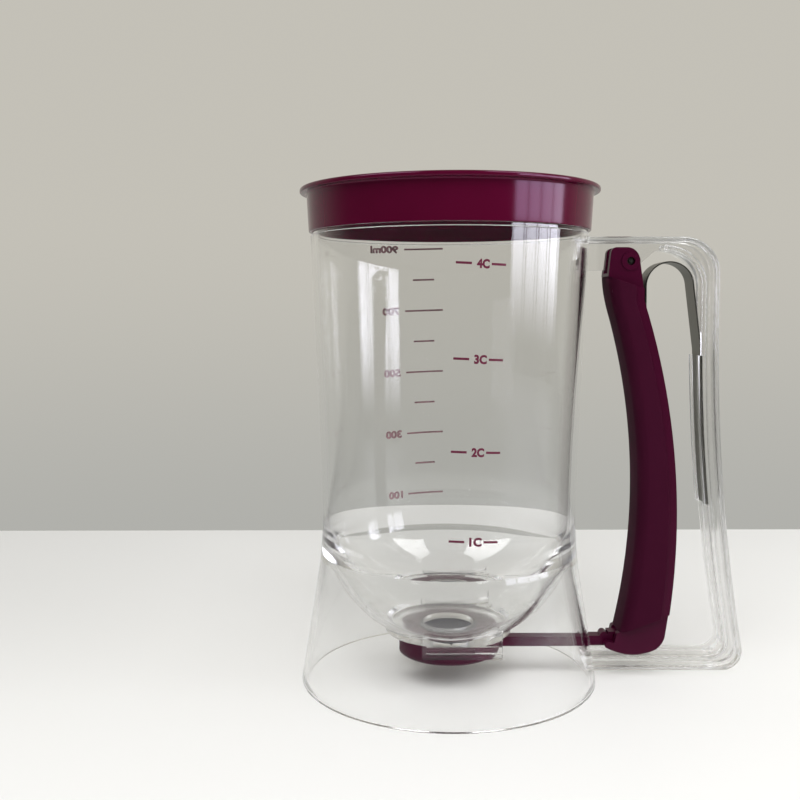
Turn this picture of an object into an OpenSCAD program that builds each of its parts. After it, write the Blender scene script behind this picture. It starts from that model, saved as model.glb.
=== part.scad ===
// Hand-held batter dispenser: a clear jar with a hemispherical floor and a flared foot, a
// press-on lid, and a squeeze lever whose pull rod slides a valve away from the outlet.
// X positions named *_x are measured from the jar's axis. The whole part is then shifted, so
// that its origin is the centre of its footprint, on the surface that it stands on.

/* [Jar] */
// Outer radius of the flared foot
base_r = 57.9; // [55:0.1:63]
// Outer radius of the waist
waist_r = 49.3; // [47:0.1:51]
// Height of the waist
waist_z = 66; // [62:0.5:72]
// Radius of the bend from the waist to the foot
waist_bend_r = 150; // [110:5:190]
// Outer radius of the shoulder that the lid comes down to
shoulder_r = 53.1; // [51.5:0.1:55]
// Height of the shoulder
shoulder_z = 173; // [160:0.5:185]
// How late the wall swells from the waist to the shoulder (1 is a straight cone)
wall_bow = 1.35; // [1:0.05:2]
// Height of the neck above the shoulder
neck_h = 12.2; // [9:0.2:16]
// Width of the ledge between the shoulder and the neck
ledge_w = 0.9; // [0.5:0.1:1.2]
// Thickness of the jar's wall, of its bowl and of its foot
wall_t = 2.4; // [2:0.1:3]
// Height of the underside of the outlet floor
floor_z = 19; // [18:0.5:21]
// Thickness of the outlet floor
floor_t = 2.5; // [2:0.1:3.5]
// How far the outlet floor reaches past the valve's disc
floor_room = 4.4; // [4:0.1:5]
// Diameter of the outlet
outlet_d = 20; // [14:0.5:21]
// Radius of the edges of the foot's rim
rim_edge_r = 0.7; // [0.3:0.1:1]
// Height of the upright band above the foot's rim
rim_h = 3; // [1.5:0.5:5]

/* [Lid] */
// How far the lip flares out past the top of the skirt
lip_flare = 2.6; // [1.8:0.1:5]
// Thickness of the lid's skirt
lid_skirt_t = 1.3; // [1:0.1:1.6]
// Growth of the skirt's outer radius from its lower edge to the lip
lid_taper = 0.7; // [0.3:0.1:1.2]
// Gap between the shoulder and the skirt's lower edge
lid_gap = 1.1; // [0.5:0.1:2]
// Thickness of the lid's top panel
lid_panel_t = 1.8; // [1.4:0.1:2.4]
// Depth of the top panel below the lip
lid_recess = 3.3; // [2:0.1:5]
// Thickness of the lip's edge
lip_t = 1.8; // [1.4:0.1:2.4]
// Radius of the lip's upper edge
lip_edge_r = 0.8; // [0.5:0.1:0.9]
// Radius of the bend under the lip
lip_bend_r = 0.9; // [0.6:0.1:1.2]
// Slope of the wall that leads down to the top panel, as its run
well_run = 1; // [0.6:0.1:1.6]
// Depth of the ring that plugs the jar's mouth
plug_h = 5; // [3:0.5:8]
// Thickness of that ring
plug_t = 1.3; // [1:0.1:2]
// Radial clearance between the lid and the neck
lid_fit = 0.2; // [0.1:0.05:0.3]

/* [Handle frame] */
// Outer face of the post at its top
post_x = 102.6; // [101:0.1:112]
// Thickness of the post
post_t = 6.8; // [6.2:0.1:7.6]
// Radius of the sweep that carries the post outwards to its foot
post_sweep_r = 750; // [600:10:900]
// Drop below the jar's shoulder at which that sweep starts
sweep_drop = 25; // [22:1:33]
// Drop of the upper arm's top below the jar's shoulder
arm_drop = 0.8; // [0.1:0.1:2]
// Depth of the upper arm's web
arm_t = 5; // [4:0.1:5.4]
// Height of the underside of the lower arm
low_arm_z = 3.4; // [2:0.1:4.2]
// Depth of the lower arm
low_arm_t = 5.9; // [5:0.1:6.2]
// Width of the flanges
bar_w = 14; // [12:0.5:16]
// Width of the web between the flanges
web_w = 6; // [5:0.1:6.4]
// Thickness of the outer flange
flange_t = 2.2; // [1.8:0.1:2.6]
// Thickness of the inner flange
inner_flange_t = 2; // [1.6:0.1:2.4]
// Outer radius of the upper corner
top_corner_r = 14; // [10:0.5:16]
// Inner radius of the upper corner
top_inner_r = 14; // [10:0.5:15]
// Outer radius of the lower corner
low_corner_r = 7.7; // [6.5:0.1:9]
// Inner radius of the lower corner
low_inner_r = 6; // [4:0.5:8]
// Drop below the pivot of the gusset's lower edge
gusset_drop = 3.3; // [2.6:0.1:4.5]
// Width of the gusset's flat lower edge past the pivot
gusset_run = 1.6; // [1:0.1:3]

/* [Lever] */
// Pivot's distance from the jar's axis
pivot_x = 68.6; // [67.5:0.1:69.5]
// Pivot's drop below the jar's shoulder
pivot_drop = 10; // [9.6:0.1:10.4]
// Diameter of the pivot pin
pin_d = 3; // [2.4:0.1:3.4]
// Radial clearance of the lever on the pin
pin_clearance = 0.05; // [0.03:0.01:0.1]
// How far the lever swings towards the post, in degrees
lever_swing = 6.5; // [4:0.5:6.5]
// Front face of the grip at its fullest
grip_front_x = 72.4; // [71.5:0.1:73]
// Height where the front face is fullest
grip_front_z = 73; // [70:1:76]
// Radius of the front face
grip_front_r = 250; // [240:5:270]
// Front face of the grip at its upright upper end
grip_crest_x = 59.8; // [59.4:0.1:60.4]
// Back edge of the lever at its fullest
lever_back_x = 87.9; // [87:0.1:88.2]
// Height where the back edge is fullest
lever_back_z = 60; // [58:1:64]
// Radius of the back edge
lever_back_r = 279; // [270:1:290]
// Back edge of the lever just below the head
nape_x = 73.6; // [73:0.1:73.7]
// Width of the head and the foot
head_w = 13.2; // [12.4:0.2:14]
// Width of the lever's body under the grip
body_w = 16.1; // [15.8:0.1:17]
// Width of the channel in the body
channel_w = 12; // [11.8:0.1:12.6]
// Thickness of the body's front wall
lever_wall_t = 2.2; // [1.8:0.1:2.6]
// Side clearance between the head and the gusset, and between the foot and the rod
fork_clearance = 0.5; // [0.3:0.1:0.7]
// Height of the head above the pivot
head_rise = 5.2; // [4.8:0.1:5.6]
// Gap between the lower arm and the sole of the foot
sole_gap = 0.5; // [0.4:0.1:0.7]
// Height of the lower end of the grip at its front
grip_low_z = 18.6; // [18.2:0.2:20]
// Drop below the pivot of the grip's upper end at its front
grip_drop = 5.6; // [5.6:0.2:8]
// Radius of the back of the head
crown_r = 5; // [4:0.2:5.6]
// Distance from the pivot forward to the centre of that back
crown_back = 1.6; // [1:0.1:2.2]
// How far the brow stands back from the grip's upright front
brow_set = 1.2; // [0.8:0.1:1.6]
// How far the chin stands back from the grip's upright front
chin_set = 0.2; // [0:0.1:0.6]
// Drop of the nape below the chin
nape_drop = 3.4; // [2:0.1:4]
// Radius of the head's smaller corners
lobe_r = 2.2; // [1.6:0.1:2.6]
// Radius of the toe's tip
toe_r = 1.3; // [1:0.1:1.5]
// How far the toe reaches in front of the cross pin
toe_reach = 4.1; // [3.7:0.1:4.6]
// Rise of the toe above the sole
toe_rise = 2.5; // [1.8:0.1:3.2]
// Radius of the sole
sole_r = 20; // [16:1:24]
// Distance from the cross pin back to the lowest point of the sole
sole_back = 5.7; // [4.5:0.1:6.5]
// Radius of the heel
heel_r = 8; // [6.5:0.5:8.5]
// Rise of the heel above the sole
heel_rise = 0.8; // [0.2:0.1:1.5]
// Height above the grip's front end where the foot runs into the body
ankle_h = 6; // [4:0.5:8]
// Height of the lower end of the spring's channel
channel_low_z = 30.6; // [26:0.2:60]
// Room in the forks above the rod's eye and below the gusset
fork_room = 1.2; // [1:0.1:1.6]
// Width of the raised ring round the pin
boss_t = 2; // [1.5:0.1:2.4]
// How far that ring stands out
boss_h = 0.4; // [0.2:0.1:0.6]

/* [Grip cover] */
// Thickness of the grip cover
grip_t = 1.6; // [1.3:0.1:1.9]
// Radius of its front edges
grip_edge_r = 3.8; // [2.6:0.2:4]
// Width of the lever's back that it leaves bare
grip_bare = 3.5; // [3:0.1:5]
// Rise of the grip's lower end from front to back, in degrees
grip_low_tilt = 21; // [15:1:25]
// Fall of the grip's upper end from front to back, in degrees
grip_top_tilt = 19; // [14:1:24]

/* [Spring] */
// Width of the spring strip
spring_w = 11; // [9:0.1:11.2]
// Thickness of the spring strip
spring_t = 0.55; // [0.4:0.05:0.7]
// Radius of the spring's bend
spring_bend_r = 9; // [8.6:0.1:9.1]
// Drop of the centre of that bend below the pivot
bend_drop = 9.3; // [9:0.1:11]
// Height of the spring's end on the post
spring_low_z = 69.4; // [66:0.2:74]
// Drop from that centre to the point where the spring leaves the post
hold_drop = 25.7; // [22:0.1:28]
// Height of the spring's end inside the lever
spring_tip_z = 98; // [92:1:106]
// Depth of the keeper lips in front of the post's inner face
keeper_h = 0.9; // [0.8:0.1:1]
// How far each lip reaches over the spring's edge
keeper_lap = 2.2; // [1.6:0.1:2.8]
// Clearance round the spring in its groove
spring_fit = 0.1; // [0.05:0.05:0.15]

/* [Valve] */
// Width of the wings that hang the valve in its rails
wing_w = 2; // [1.6:0.1:2.4]
// Thickness of the wings
wing_t = 1.5; // [1.2:0.1:1.7]
// Radius of the valve's disc
disc_r = 20.3; // [19.6:0.1:21]
// Length of the wings
wing_l = 18; // [14:0.5:20]
// Thickness of the rails' lips and outer walls
rail_t = 1.6; // [1.3:0.1:1.9]
// Forward end of the rails
rail_end_x = 19; // [17:0.5:20]
// Clearance of the valve in its rails
rail_fit = 0.4; // [0.3:0.05:0.5]
// Gap between the outlet floor and the valve's top
valve_gap = 1; // [0.7:0.1:1.2]
// Height of the valve's disc
valve_h = 8.2; // [7.5:0.1:8.4]
// Thickness of the disc's top
valve_t = 1.6; // [1.3:0.1:2]
// Radius of the disc's lower edge
valve_edge_r = 3; // [2:0.2:4]
// Width of the notch that lets the batter past the disc
notch_w = 12; // [9:0.5:13]
// Width of the pull rod
rod_w = 5; // [4:0.1:5.2]
// Height of the pull rod
rod_h = 3.8; // [3.2:0.1:4]
// Height of the rod's underside
rod_z = 12.3; // [12:0.1:12.6]
// Wall of the rod's eye in front of its slot and behind it
eye_t = 2; // [1.5:0.1:2.4]
// Wall of the rod's eye above its slot and below it
eye_wall = 1; // [0.8:0.1:1.2]
// Distance from the cross pin forward to the bump on the rod
bump_back = 4.9; // [4.6:0.1:5.6]
// Radius of the bump on the rod
bump_r = 1.6; // [1.2:0.1:1.8]
// Clearance round the rod in the foot's slot
slot_fit = 0.6; // [0.4:0.1:0.8]
// Diameter of the cross pin in the lever's foot
link_pin_d = 2.4; // [2:0.1:2.6]
// Distance of the cross pin in front of the pivot's plane
link_back = 2.1; // [1:0.1:3]
// Side clearance of the cross pin in the rod's eye
link_fit = 0.15; // [0.1:0.05:0.2]
// Free rise of the cross pin in the rod's eye
link_rise = 0.9; // [0.8:0.05:1]

/* [Seal] */
// How far the seal pad reaches past the outlet
seal_lap = 1.7; // [1.4:0.1:2]
// Thickness of the seal pad
seal_t = 2.6; // [2.2:0.1:2.8]
// Gap between the seal's bead and the outlet floor
seal_gap = 0.05; // [0.03:0.01:0.1]
// Clearance of the seal pad in its pocket
pocket_fit = 0.1; // [0.05:0.05:0.2]
// Width of the bead round the seal's face
bead_w = 1.2; // [0.8:0.1:1.6]
// Height of the bead round the seal's face
bead_h = 0.4; // [0.2:0.1:0.6]

/* [Hidden] */
$fn = 96;
EPS = 0.01;

CLEAR = [0.86, 0.9, 0.88, 0.45];
MAROON = [0.36, 0.03, 0.16];
DARK = [0.3, 0.03, 0.13];

// Jar
rim_z = shoulder_z + neck_h;
neck_r = shoulder_r - ledge_w;
mouth_r = shoulder_r - wall_t;
bowl_r = waist_r;
bowl_inner_r = waist_r - wall_t;
floor_top_z = floor_z + floor_t;
floor_r = disc_r + floor_room;
// Step from the floor's edge out to the circle where its top meets the bowl's outside
floor_step = 0.3;
bowl_z = floor_top_z + sqrt(pow(bowl_r, 2) - pow(floor_r + floor_step, 2));
// The foot's straight side runs up to a bend that is tangent to the waist
bend_dx = waist_r + waist_bend_r - base_r;
bend_dz = waist_z - rim_h;
foot_angle = atan2(bend_dz, bend_dx) + asin(waist_bend_r / norm([bend_dx, bend_dz])) - 90;

// Lid
lid_low_z = shoulder_z + lid_gap;
lid_top_z = rim_z + lid_panel_t + lid_recess;
skirt_in_r = neck_r + lid_fit;
skirt_out_r = skirt_in_r + lid_skirt_t;
skirt_top_r = skirt_out_r + lid_taper;
lip_r = skirt_top_r + lip_flare;
plug_r = mouth_r - lid_fit;

// Handle frame
arm_top_z = shoulder_z - arm_drop;
post_sweep_z = shoulder_z - sweep_drop;
pivot_z = shoulder_z - pivot_drop;
gusset_z = pivot_z - gusset_drop;
sweep_cx = post_x + post_sweep_r;
low_corner_z = low_arm_z + low_corner_r;
low_corner_x = sweep_cx - sqrt(pow(post_sweep_r + low_corner_r, 2)
                               - pow(post_sweep_z - low_corner_z, 2));
post_reach_x = low_corner_x + low_corner_r;
post_in_r = post_sweep_r + post_t;
low_arm_top_z = low_arm_z + low_arm_t;
arm_low_z = arm_top_z - arm_t;
low_inner_z = low_arm_top_z + low_inner_r;
low_inner_x = sweep_cx - sqrt(pow(post_in_r + low_inner_r, 2)
                              - pow(post_sweep_z - low_inner_z, 2));
gusset_x = pivot_x + gusset_run;
// Slope of the gusset's edge, in degrees
gusset_slope = 41;
// How far the spring's groove runs on past the point where the spring leaves the post
groove_run = 8;

// The whole part is centred on its footprint
origin_x = (post_reach_x - base_r) / 2;

// Lever
fork_w = web_w + 2 * fork_clearance;
front_cx = grip_front_x - grip_front_r;
back_cx = lever_back_x - lever_back_r;
grip_w = body_w + 2 * grip_t;
seam_gap = 0.1;
head_top_z = pivot_z + head_rise;
grip_top_z = pivot_z - grip_drop;
chin_z = grip_top_z - 1;
nape_z = chin_z - nape_drop;
// Height where the back edge's arc runs into the upright nape
nape_low_z = lever_back_z + sqrt(pow(lever_back_r, 2) - pow(nape_x - back_cx, 2));
foot_z = low_arm_top_z + sole_gap;
link_x = pivot_x - link_back;
link_z = rod_z + eye_wall + link_fit + link_pin_d / 2;
eye_top_z = link_z + link_pin_d / 2 + link_rise + eye_wall;

// Spring
// Lean of the strip where it leaves the post, as run over rise
spring_lean = 0.14;
spring_bend_z = pivot_z - bend_drop;
spring_hold_z = spring_bend_z - hold_drop;
groove_t = spring_t + spring_fit;
spring_hold_x = post_face(spring_hold_z) + spring_t / 2 + spring_fit / 2;
spring_tip_x = front_face(spring_tip_z) + grip_t + lever_wall_t + spring_t / 2 + spring_fit;
spring_bend_x = spring_hold_x - spring_lean * (spring_bend_z - spring_hold_z) - spring_bend_r;

// Valve
rail_y = disc_r + rail_fit;
valve_top_z = floor_z - valve_gap;
valve_low_z = valve_top_z - valve_h;
lip_top_z = valve_top_z - wing_t - rail_fit;
seal_z = floor_z - seal_gap - bead_h - seal_t;
seal_r = outlet_d / 2 + seal_lap;
seal_pocket_r = seal_r + pocket_fit;
// Wall left between the seal's pocket and the notch
notch_wall = 1.1;
notch_x = seal_pocket_r + notch_wall;
// Flat ring that the disc's wall ends in
disc_ring = 0.8;

// X of the post's inner face at height z
function post_face(z) = sweep_cx - sqrt(pow(post_in_r, 2) - pow(max(0, post_sweep_z - z), 2));
// X of the lever's front face and back edge at height z
function front_face(z) =
    max(grip_crest_x, front_cx + sqrt(pow(grip_front_r, 2) - pow(z - grip_front_z, 2)));
function back_face(z) = back_cx + sqrt(pow(lever_back_r, 2) - pow(z - lever_back_z, 2));
// Points along an arc from angle a0 to a1 about [cx, cz]
function arc(cx, cz, r, a0, a1, n = 12) =
    [for (i = [0:n]) let (a = a0 + (a1 - a0) * i / n) [cx + r * cos(a), cz + r * sin(a)]];
// The two sides of a strip of thickness t that follows a path
function strip_side(path, d) = [for (i = [0:len(path) - 1])
    let (a = path[max(i - 1, 0)], b = path[min(i + 1, len(path) - 1)], u = (b - a) / norm(b - a))
    path[i] + d * [-u[1], u[0]]];
function strip(path, t) = let (back = strip_side(path, -t / 2), n = len(path) - 1)
    concat(strip_side(path, t / 2), [for (i = [n:-1:0]) back[i]]);

// Outer radius of the jar's wall between the waist and the shoulder
function wall_r(z) = waist_r
    + (shoulder_r - waist_r) * pow(max(0, z - waist_z) / (shoulder_z - waist_z), wall_bow);
// Outer side of the jar from the rim of its foot to its shoulder, moved inwards by d
function jar_side(d) = concat(
    [[base_r - d, rim_h]],
    arc(waist_r + waist_bend_r, waist_z, waist_bend_r + d, 180 + foot_angle, 180, 10),
    [for (i = [1:12]) let (z = waist_z + (shoulder_z - waist_z) * i / 12) [wall_r(z) - d, z]]);

module on_edge(width) {
    // Stands a side outline up, centred on the XZ plane
    rotate([90, 0, 0]) translate([0, 0, -width / 2]) linear_extrude(width) children();
}

module swept(cx, cz, a0, a1) {
    // Sweeps a radial section about an axis along Y
    translate([cx, 0, cz]) rotate([90, 0, 0]) rotate([0, 0, a0])
        rotate_extrude(angle = a1 - a0, $fn = 360) children();
}

module jar_outline_2d() {
    // Everything inside the jar's outer surface, below its shoulder
    polygon(concat([[0, 0], [base_r - rim_edge_r, 0]],
                   arc(base_r - rim_edge_r, rim_edge_r, rim_edge_r, -90, 0, 4),
                   jar_side(0), [[0, shoulder_z]]));
}

module jar_2d() {
    rim_in_r = base_r - wall_t;
    difference() {
        union() {
            jar_outline_2d();
            translate([0, shoulder_z - EPS]) square([neck_r, neck_h + EPS]);
        }
        // Inside of the jar and its bowl
        intersection() {
            union() {
                polygon(concat([for (p = jar_side(wall_t)) if (p[1] >= bowl_z) p],
                               [[mouth_r, rim_z + 1], [0, rim_z + 1], [0, bowl_z]]));
                translate([0, bowl_z]) circle(bowl_inner_r, $fn = 180);
            }
            translate([0, floor_top_z]) square([base_r, rim_z]);
        }
        // Hollow foot, outside the bowl
        difference() {
            polygon(concat([[0, -1], [rim_in_r + rim_edge_r, -1], [rim_in_r + rim_edge_r, 0]],
                           arc(rim_in_r + rim_edge_r, rim_edge_r, rim_edge_r, 270, 180, 4),
                           [for (p = jar_side(wall_t)) if (p[1] < bowl_z) p], [[0, bowl_z]]));
            translate([0, bowl_z]) circle(bowl_r, $fn = 180);
        }
        // Space below the outlet floor
        square([floor_r, floor_z]);
        square([outlet_d / 2, bowl_z]);
    }
    // Edge of the outlet floor
    translate([outlet_d / 2, floor_z]) square([floor_r - outlet_d / 2, floor_t]);
}

module rails() {
    // Two rails under the bowl, closed behind the wings and open in front
    rail_low_z = lip_top_z - rail_t;
    stop_x = -wing_l / 2 - rail_fit / 2;
    channel_y = rail_y + wing_w + rail_fit;
    out_y = channel_y + rail_t;
    root_r = bowl_r - wall_t / 2;
    top_z = bowl_z - sqrt(pow(root_r, 2) - pow(rail_end_x, 2) - pow(out_y, 2)) + wall_t;
    difference() {
        translate([stop_x - rail_t, -out_y, rail_low_z])
            cube([rail_end_x + rail_t - stop_x, 2 * out_y, top_z - rail_low_z]);
        translate([0, 0, bowl_z]) sphere(root_r);
        // Way for the disc
        translate([-base_r, -rail_y, 0]) cube([2 * base_r, 2 * rail_y, floor_z]);
        // Way for the wings
        translate([stop_x, -channel_y, lip_top_z])
            cube([rail_end_x + wing_l, 2 * channel_y, floor_z - lip_top_z]);
    }
}

module jar() {
    slot_w = rod_w + 2 * slot_fit;
    slot_h = rod_h + 2 * slot_fit;
    color(CLEAR) union() {
        difference() {
            rotate_extrude($fn = 180) jar_2d();
            translate([waist_r - wall_t, -slot_w / 2, rod_z - slot_fit])
                cube([base_r, slot_w, slot_h]);
        }
        rails();
    }
}

module frame_outline_2d(inset = 0) {
    // Outer edge of the bar, from the jar round to its foot, moved inwards by inset
    lean = asin((post_sweep_z - low_corner_z) / (post_sweep_r + low_corner_r));
    polygon(concat(
        [[0, arm_top_z - inset]],
        arc(post_x - top_corner_r, arm_top_z - top_corner_r, top_corner_r - inset, 90, 0, 16),
        arc(sweep_cx, post_sweep_z, post_sweep_r + inset, 180, 180 + lean, 16),
        arc(low_corner_x, low_corner_z, low_corner_r - inset, lean, -90, 16),
        [[0, low_arm_z + inset]]));
}

module frame_window_2d(grow = 0) {
    // Opening inside the bar, whose edge grow moves into the bar
    lean = asin((post_sweep_z - low_inner_z) / (post_in_r + low_inner_r));
    polygon(concat(
        [[0, arm_low_z + grow]],
        arc(post_x - post_t - top_inner_r, arm_low_z - top_inner_r, top_inner_r + grow, 90, 0, 16),
        arc(sweep_cx, post_sweep_z, post_in_r - grow, 180, 180 + lean, 16),
        arc(low_inner_x, low_inner_z, low_inner_r + grow, lean, -90, 10),
        [[0, low_arm_top_z - grow]]));
}

module gusset_2d() {
    // Web that hangs from the upper arm and holds the pin
    rise = arm_low_z - gusset_z;
    web_top_z = arm_top_z - flange_t / 2;
    polygon([[0, gusset_z], [gusset_x, gusset_z], [gusset_x + rise / tan(gusset_slope), arm_low_z],
             [gusset_x + rise / tan(gusset_slope), web_top_z], [0, web_top_z]]);
}

module jar_solid() {
    rotate_extrude($fn = 180) jar_outline_2d();
}

module post_band_2d(d0, d1) {
    // Band along the post, from d0 to d1 in front of its inner face
    difference() {
        translate([sweep_cx, post_sweep_z]) circle(post_in_r + d1, $fn = 720);
        translate([sweep_cx, post_sweep_z]) circle(post_in_r + d0, $fn = 720);
    }
}

module keeper() {
    // Two lips that hold the spring against the post
    lip_y = spring_w / 2 - keeper_lap;
    for (side = [0, 1]) mirror([0, side, 0]) intersection() {
        translate([0, lip_y, spring_low_z])
            cube([post_reach_x, bar_w / 2 - lip_y, spring_hold_z - keeper_h - spring_low_z]);
        on_edge(bar_w) post_band_2d(-inner_flange_t / 2, keeper_h);
    }
}

module spring_groove() {
    // Groove in the post's inner face that the spring lies in
    groove_w = spring_w + 2 * spring_fit;
    intersection() {
        translate([0, -groove_w / 2, spring_low_z - spring_fit])
            cube([post_reach_x, groove_w, spring_hold_z + groove_run - spring_low_z]);
        on_edge(bar_w) post_band_2d(-groove_t, 0);
    }
}

module handle_frame() {
    color(CLEAR) difference() {
        union() {
            // Outer flange
            on_edge(bar_w) difference() {
                frame_outline_2d();
                frame_outline_2d(flange_t);
            }
            // Inner flange, which ends where the upper arm begins
            on_edge(bar_w) difference() {
                frame_window_2d(inner_flange_t);
                frame_window_2d();
                translate([0, low_inner_z]) square([post_x - post_t - top_inner_r, arm_top_z]);
            }
            // Web between the flanges
            on_edge(web_w) {
                difference() {
                    frame_outline_2d();
                    frame_window_2d();
                }
                gusset_2d();
            }
            keeper();
        }
        jar_solid();
        spring_groove();
        rotate([90, 0, 0]) translate([pivot_x, pivot_z, -bar_w]) cylinder(d = pin_d, h = 2 * bar_w);
    }
}

module lid() {
    lip_low_z = lid_top_z - lip_t;
    panel_z = rim_z + lid_panel_t;
    // The wall between the well and the skirt is as thick as the top panel
    well_r = skirt_in_r - lid_panel_t;
    // Taper that leads the plug ring into the mouth
    plug_lead = plug_t / 3;
    color(MAROON) rotate_extrude($fn = 180) {
        // Skirt, and the lip that flares out of its top
        polygon(concat(
            [[skirt_in_r, lid_low_z], [skirt_out_r, lid_low_z],
             [skirt_top_r, lip_low_z - lip_bend_r / 2]],
            arc(lip_r - 1.5 * lip_bend_r, lip_low_z + lip_bend_r / 2, lip_bend_r, -60, 0, 3),
            arc(lip_r - lip_edge_r, lid_top_z - lip_edge_r, lip_edge_r, 0, 90, 5),
            [[well_r + well_run, lid_top_z], [well_r + well_run / 4, lid_top_z - well_run],
             [well_r, panel_z], [0, panel_z], [0, rim_z],
             [plug_r - plug_t, rim_z], [plug_r - plug_t, rim_z - plug_h],
             [plug_r - plug_lead, rim_z - plug_h], [plug_r, rim_z - plug_h + 2 * plug_lead],
             [plug_r, rim_z], [skirt_in_r, rim_z]]));
    }
}

module head_2d() {
    // Side outline of the head: crown, brow, chin and nape
    hull() {
        translate([pivot_x - crown_back, head_top_z - crown_r]) circle(crown_r);
        translate([grip_crest_x + brow_set + lobe_r, head_top_z - lobe_r]) circle(lobe_r);
        translate([grip_crest_x + chin_set + lobe_r, chin_z]) circle(lobe_r);
        translate([nape_x - lobe_r, nape_z]) circle(lobe_r);
    }
}

module foot_2d() {
    // Side outline of the foot: toe, sole and heel, and the way up to the body
    // The sole is an arc, which runs this many degrees to both sides of its lowest point
    sole_a = 24;
    sole = arc(link_x + sole_back, foot_z + sole_r, sole_r, 270 - sole_a, 270 + sole_a);
    ankle_z = grip_low_z + ankle_h;
    back_ankle_z = ankle_z + lobe_r;
    hull() {
        translate([link_x - toe_reach, foot_z + toe_rise + toe_r]) circle(toe_r);
        polygon(sole);
    }
    hull() {
        polygon(sole);
        translate([back_face(foot_z + heel_r) - heel_r, foot_z + heel_rise + heel_r])
            circle(heel_r);
        translate([link_x + link_pin_d / 2, link_z + lobe_r]) circle(lobe_r);
        translate([front_face(ankle_z) + lobe_r, ankle_z]) circle(lobe_r);
        translate([back_face(back_ankle_z) - lobe_r, back_ankle_z]) circle(lobe_r);
    }
}

module behind_front_2d(inset = 0) {
    // Everything behind the lever's front face, once that is moved inwards by inset
    difference() {
        translate([grip_crest_x + inset, 0]) square([lever_back_x, arm_top_z]);
        translate([front_cx, grip_front_z]) circle(grip_front_r + inset, $fn = 720);
    }
}

module before_back_2d(inset = 0) {
    // Everything in front of the lever's back edge, once that is moved inwards by inset
    translate([back_cx, lever_back_z]) circle(lever_back_r - inset, $fn = 720);
    translate([0, nape_low_z]) square([nape_x - inset, arm_top_z - nape_low_z]);
}

module grip_span_2d(gap = 0) {
    // Part of the lever's length that the grip covers, less a gap at each end
    low_x = front_face(grip_low_z);
    top_x = front_face(grip_top_z);
    reach = lever_back_x - top_x + grip_t;
    polygon([[low_x - reach, grip_low_z + gap - reach * tan(grip_low_tilt)],
             [low_x + reach, grip_low_z + gap + reach * tan(grip_low_tilt)],
             [lever_back_x + reach, grip_low_z + gap + reach * tan(grip_low_tilt)],
             [lever_back_x + reach, grip_top_z - gap - reach * tan(grip_top_tilt)],
             [top_x + reach, grip_top_z - gap - reach * tan(grip_top_tilt)],
             [top_x - reach, grip_top_z - gap + reach * tan(grip_top_tilt)]]);
}

module trigger_lever() {
    pin_hole_r = pin_d / 2 + pin_clearance;
    inside = grip_t + lever_wall_t;
    reach = 2 * lever_back_x;
    color(MAROON) difference() {
        union() {
            on_edge(head_w) difference() {
                union() {
                    head_2d();
                    foot_2d();
                }
                // Room for the front wall of the grip cover
                difference() {
                    grip_span_2d();
                    behind_front_2d(grip_t);
                }
            }
            on_edge(body_w) intersection() {
                behind_front_2d(grip_t);
                before_back_2d();
                grip_span_2d();
            }
            rotate([90, 0, 0]) translate([pivot_x, pivot_z, -head_w / 2 - boss_h])
                cylinder(r = pin_d / 2 + boss_t, h = head_w + 2 * boss_h);
        }
        // Channel for the spring, open at the back
        on_edge(channel_w) intersection() {
            behind_front_2d(inside);
            translate([0, channel_low_z]) square([reach, nape_z - channel_low_z]);
        }
        // Narrow channel along the whole length, which opens into the two forks
        on_edge(fork_w) {
            behind_front_2d(inside);
            translate([0, gusset_z - fork_room]) square([reach, head_top_z]);
            square([reach, eye_top_z + fork_room]);
        }
        rotate([90, 0, 0]) translate([pivot_x, pivot_z, -head_w])
            cylinder(r = pin_hole_r, h = 2 * head_w);
    }
    // Cross pin that pulls the rod, with both ends rooted in the forks
    pin_l = (fork_w + head_w) / 2;
    color(MAROON) rotate([90, 0, 0]) translate([link_x, link_z, -pin_l / 2])
        cylinder(d = link_pin_d, h = pin_l);
}

module grip_cover() {
    // Soft shell over the lever's front and sides
    edge_y = grip_w / 2 - grip_edge_r;
    depth = lever_back_x - grip_crest_x;
    // The sweep runs past both ends of the grip by this many degrees
    past = 5;
    low_a = asin((grip_low_z - grip_front_z) / grip_front_r) - past;
    high_a = asin((grip_top_z - grip_front_z) / grip_front_r) + past;
    color(DARK) difference() {
        intersection() {
            swept(front_cx, grip_front_z, low_a, high_a) translate([grip_front_r, 0]) {
                translate([0, -edge_y]) square([depth, 2 * edge_y]);
                translate([grip_edge_r, -grip_w / 2]) square([depth - grip_edge_r, grip_w]);
                for (side = [-1, 1]) translate([grip_edge_r, side * edge_y]) circle(grip_edge_r);
            }
            on_edge(2 * grip_w) intersection() {
                behind_front_2d();
                before_back_2d(grip_bare);
                grip_span_2d(seam_gap);
            }
        }
        on_edge(body_w) behind_front_2d(grip_t);
    }
}

module pivot_pin() {
    color("silver") rotate([90, 0, 0]) translate([pivot_x, pivot_z, -head_w / 2])
        cylinder(d = pin_d, h = head_w);
}

module return_spring() {
    lean = atan2(spring_hold_x - spring_bend_x - spring_bend_r, spring_bend_z - spring_hold_z);
    post_leg = [for (i = [0:8])
        let (z = spring_low_z + (spring_hold_z - spring_low_z) * i / 8)
        [post_face(z) + groove_t / 2, z]];
    path = concat(post_leg, arc(spring_bend_x, spring_bend_z, spring_bend_r, lean, 180, 20),
                  [[spring_tip_x, spring_tip_z]]);
    color("gray") on_edge(spring_w) polygon(strip(path, spring_t));
}

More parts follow.
